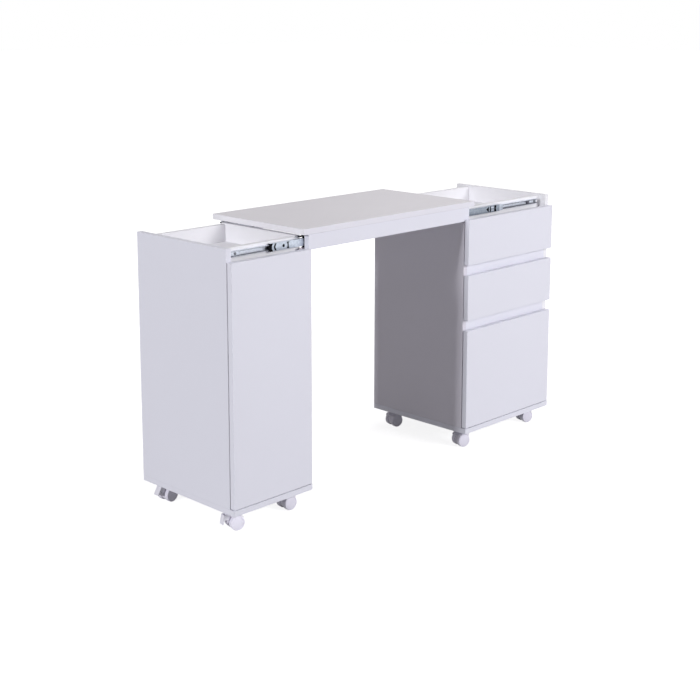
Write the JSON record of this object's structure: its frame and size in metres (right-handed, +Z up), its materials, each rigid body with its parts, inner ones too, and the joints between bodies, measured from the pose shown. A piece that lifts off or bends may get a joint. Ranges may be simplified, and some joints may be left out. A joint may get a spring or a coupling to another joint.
{
  "type": "sewing table",
  "caption": "Rolling craft table whose top bridges a narrow door cabinet and a wider drawer cabinet that slide together on ball slides; open trays at both ends.",
  "frame": {"origin": "on the floor under the middle of the table's bounding box with both pedestals pulled fully open", "axes": "+X along the table towards the drawer pedestal, fronts face -Y, +Z up"},
  "size_m": [1.34, 0.386, 0.768],
  "materials": {
    "white_board": "particle board faced with satin white melamine",
    "top_laminate": "particle board faced with satin white melamine, sealed edges",
    "drawer_board": "thin board wrapped in white foil",
    "drawer_sheet": "white lacquered hardboard",
    "slide_steel": "zinc-plated rolled steel",
    "slide_plastic": "moulded black acetal of the ball cages and stops",
    "hinge_steel": "nickel-plated pressed steel",
    "pin_steel": "turned steel pin",
    "castor_body": "moulded white nylon",
    "castor_wheel": "moulded white nylon",
    "brake_lever": "moulded light grey nylon"
  },
  "bodies": {
    "sliding_top": {"top_board": "top_laminate", "front_apron": "white_board", "rear_apron": "white_board", "left_slide_outers": "slide_steel", "right_slide_outers": "slide_steel"},
    "left_pedestal": {"left_base": "white_board", "left_outer_side": "white_board", "left_inner_side": "white_board", "left_back": "white_board", "left_tray_floor": "white_board", "left_front_rail": "white_board", "left_shelf": "white_board", "left_shelf_pins": "pin_steel", "left_hinge_arms": "hinge_steel", "left_slide_inners": "slide_steel"},
    "right_pedestal": {"right_base": "white_board", "right_outer_side": "white_board", "right_inner_side": "white_board", "right_back": "white_board", "right_tray_floor": "white_board", "right_front_rail": "white_board", "right_upper_cross_rail": "white_board", "right_lower_cross_rail": "white_board", "right_drawer_guides": "slide_steel", "right_slide_inners": "slide_steel"},
    "left_slide_carriages": {"left_slide_middles": "slide_steel"},
    "right_slide_carriages": {"right_slide_middles": "slide_steel"},
    "door": {"door_panel": "white_board", "door_hinge_cups": "hinge_steel"},
    "top_drawer": {"top_drawer_front": "white_board", "top_drawer_wrap": "drawer_board", "top_drawer_bottom": "drawer_sheet", "top_drawer_runners": "slide_steel"},
    "middle_drawer": {"middle_drawer_front": "white_board", "middle_drawer_wrap": "drawer_board", "middle_drawer_bottom": "drawer_sheet", "middle_drawer_runners": "slide_steel"},
    "bottom_drawer": {"bottom_drawer_front": "white_board", "bottom_drawer_wrap": "drawer_board", "bottom_drawer_bottom": "drawer_sheet", "bottom_drawer_runners": "slide_steel"},
    "left_front_outer_castor": {"left_front_outer_castor_fork": "castor_body"},
    "left_front_outer_wheels": {"left_front_outer_castor_wheels": "castor_wheel"},
    "left_front_outer_brake": {"left_front_outer_brake_lever": "brake_lever"},
    "left_front_inner_castor": {"left_front_inner_castor_fork": "castor_body"},
    "left_front_inner_wheels": {"left_front_inner_castor_wheels": "castor_wheel"},
    "left_rear_outer_castor": {"left_rear_outer_castor_fork": "castor_body"},
    "left_rear_outer_wheels": {"left_rear_outer_castor_wheels": "castor_wheel"},
    "left_rear_outer_brake": {"left_rear_outer_brake_lever": "brake_lever"},
    "left_rear_inner_castor": {"left_rear_inner_castor_fork": "castor_body"},
    "left_rear_inner_wheels": {"left_rear_inner_castor_wheels": "castor_wheel"},
    "right_front_inner_castor": {"right_front_inner_castor_fork": "castor_body"},
    "right_front_inner_wheels": {"right_front_inner_castor_wheels": "castor_wheel"},
    "right_front_outer_castor": {"right_front_outer_castor_fork": "castor_body"},
    "right_front_outer_wheels": {"right_front_outer_castor_wheels": "castor_wheel"},
    "right_rear_inner_castor": {"right_rear_inner_castor_fork": "castor_body"},
    "right_rear_inner_wheels": {"right_rear_inner_castor_wheels": "castor_wheel"},
    "right_rear_outer_castor": {"right_rear_outer_castor_fork": "castor_body"},
    "right_rear_outer_wheels": {"right_rear_outer_castor_wheels": "castor_wheel"}
  },
  "joints": [
    {"name": "left_pedestal_slide", "type": "slide", "parent": "sliding_top", "child": "left_pedestal", "axis": [1, 0, 0], "range_m": [0, 0.266]},
    {"name": "right_pedestal_slide", "type": "slide", "parent": "sliding_top", "child": "right_pedestal", "axis": [-1, 0, 0], "range_m": [0, 0.378]},
    {"name": "left_carriage_slide", "type": "slide", "parent": "sliding_top", "child": "left_slide_carriages", "axis": [1, 0, 0], "range_m": [0, 0.133]},
    {"name": "right_carriage_slide", "type": "slide", "parent": "sliding_top", "child": "right_slide_carriages", "axis": [-1, 0, 0], "range_m": [0, 0.189]},
    {"name": "door_hinge", "type": "hinge", "parent": "left_pedestal", "child": "door", "pos_m": [-0.665, -0.1845, 0.395], "axis": [0, 0, -1], "range_deg": [0, 95]},
    {"name": "top_drawer_slide", "type": "slide", "parent": "right_pedestal", "child": "top_drawer", "axis": [0, -1, 0], "range_m": [0, 0.22]},
    {"name": "middle_drawer_slide", "type": "slide", "parent": "right_pedestal", "child": "middle_drawer", "axis": [0, -1, 0], "range_m": [0, 0.22]},
    {"name": "bottom_drawer_slide", "type": "slide", "parent": "right_pedestal", "child": "bottom_drawer", "axis": [0, -1, 0], "range_m": [0, 0.22]},
    {"name": "left_front_outer_swivel", "type": "hinge", "parent": "left_pedestal", "child": "left_front_outer_castor", "pos_m": [-0.642, -0.138, 0.056], "axis": [0, 0, 1], "continuous": true},
    {"name": "left_front_outer_roll", "type": "hinge", "parent": "left_front_outer_castor", "child": "left_front_outer_wheels", "pos_m": [-0.62648, -0.14187, 0.02], "axis": [0.2419, 0.9703, 0], "continuous": true},
    {"name": "left_front_outer_brake_press", "type": "hinge", "parent": "left_front_outer_castor", "child": "left_front_outer_brake", "pos_m": [-0.64782, -0.13655, 0.034], "axis": [0.2419, 0.9703, 0], "range_deg": [0, 20]},
    {"name": "left_front_inner_swivel", "type": "hinge", "parent": "left_pedestal", "child": "left_front_inner_castor", "pos_m": [-0.421, -0.138, 0.056], "axis": [0, 0, 1], "continuous": true},
    {"name": "left_front_inner_roll", "type": "hinge", "parent": "left_front_inner_castor", "child": "left_front_inner_wheels", "pos_m": [-0.43694, -0.13661, 0.02], "axis": [-0.0872, -0.9962, 0], "continuous": true},
    {"name": "left_rear_outer_swivel", "type": "hinge", "parent": "left_pedestal", "child": "left_rear_outer_castor", "pos_m": [-0.642, 0.139, 0.056], "axis": [0, 0, 1], "continuous": true},
    {"name": "left_rear_outer_roll", "type": "hinge", "parent": "left_rear_outer_castor", "child": "left_rear_outer_wheels", "pos_m": [-0.62604, 0.14012, 0.02], "axis": [-0.0698, 0.9976, 0], "continuous": true},
    {"name": "left_rear_outer_brake_press", "type": "hinge", "parent": "left_rear_outer_castor", "child": "left_rear_outer_brake", "pos_m": [-0.64799, 0.13858, 0.034], "axis": [-0.0698, 0.9976, 0], "range_deg": [-20, 0]},
    {"name": "left_rear_inner_swivel", "type": "hinge", "parent": "left_pedestal", "child": "left_rear_inner_castor", "pos_m": [-0.421, 0.139, 0.056], "axis": [0, 0, 1], "continuous": true},
    {"name": "left_rear_inner_roll", "type": "hinge", "parent": "left_rear_inner_castor", "child": "left_rear_inner_wheels", "pos_m": [-0.43684, 0.14123, 0.02], "axis": [-0.1392, -0.9903, 0], "continuous": true},
    {"name": "right_front_inner_swivel", "type": "hinge", "parent": "right_pedestal", "child": "right_front_inner_castor", "pos_m": [0.309, -0.146, 0.056], "axis": [0, 0, 1], "continuous": true},
    {"name": "right_front_inner_roll", "type": "hinge", "parent": "right_front_inner_castor", "child": "right_front_inner_wheels", "pos_m": [0.2937, -0.14132, 0.02], "axis": [-0.2924, -0.9563, 0], "continuous": true},
    {"name": "right_front_outer_swivel", "type": "hinge", "parent": "right_pedestal", "child": "right_front_outer_castor", "pos_m": [0.642, -0.138, 0.056], "axis": [0, 0, 1], "continuous": true},
    {"name": "right_front_outer_roll", "type": "hinge", "parent": "right_front_outer_castor", "child": "right_front_outer_wheels", "pos_m": [0.62662, -0.13359, 0.02], "axis": [-0.2756, -0.9613, 0], "continuous": true},
    {"name": "right_rear_inner_swivel", "type": "hinge", "parent": "right_pedestal", "child": "right_rear_inner_castor", "pos_m": [0.309, 0.134, 0.056], "axis": [0, 0, 1], "continuous": true},
    {"name": "right_rear_inner_roll", "type": "hinge", "parent": "right_rear_inner_castor", "child": "right_rear_inner_wheels", "pos_m": [0.29335, 0.13733, 0.02], "axis": [-0.2079, -0.9781, 0], "continuous": true},
    {"name": "right_rear_outer_swivel", "type": "hinge", "parent": "right_pedestal", "child": "right_rear_outer_castor", "pos_m": [0.642, 0.139, 0.056], "axis": [0, 0, 1], "continuous": true},
    {"name": "right_rear_outer_roll", "type": "hinge", "parent": "right_rear_outer_castor", "child": "right_rear_outer_wheels", "pos_m": [0.62716, 0.14499, 0.02], "axis": [-0.3746, -0.9272, 0], "continuous": true}
  ],
  "couplings": [
    {"joint": "left_carriage_slide", "follows": "left_pedestal_slide", "ratio": 0.5},
    {"joint": "right_carriage_slide", "follows": "right_pedestal_slide", "ratio": 0.5}
  ]
}
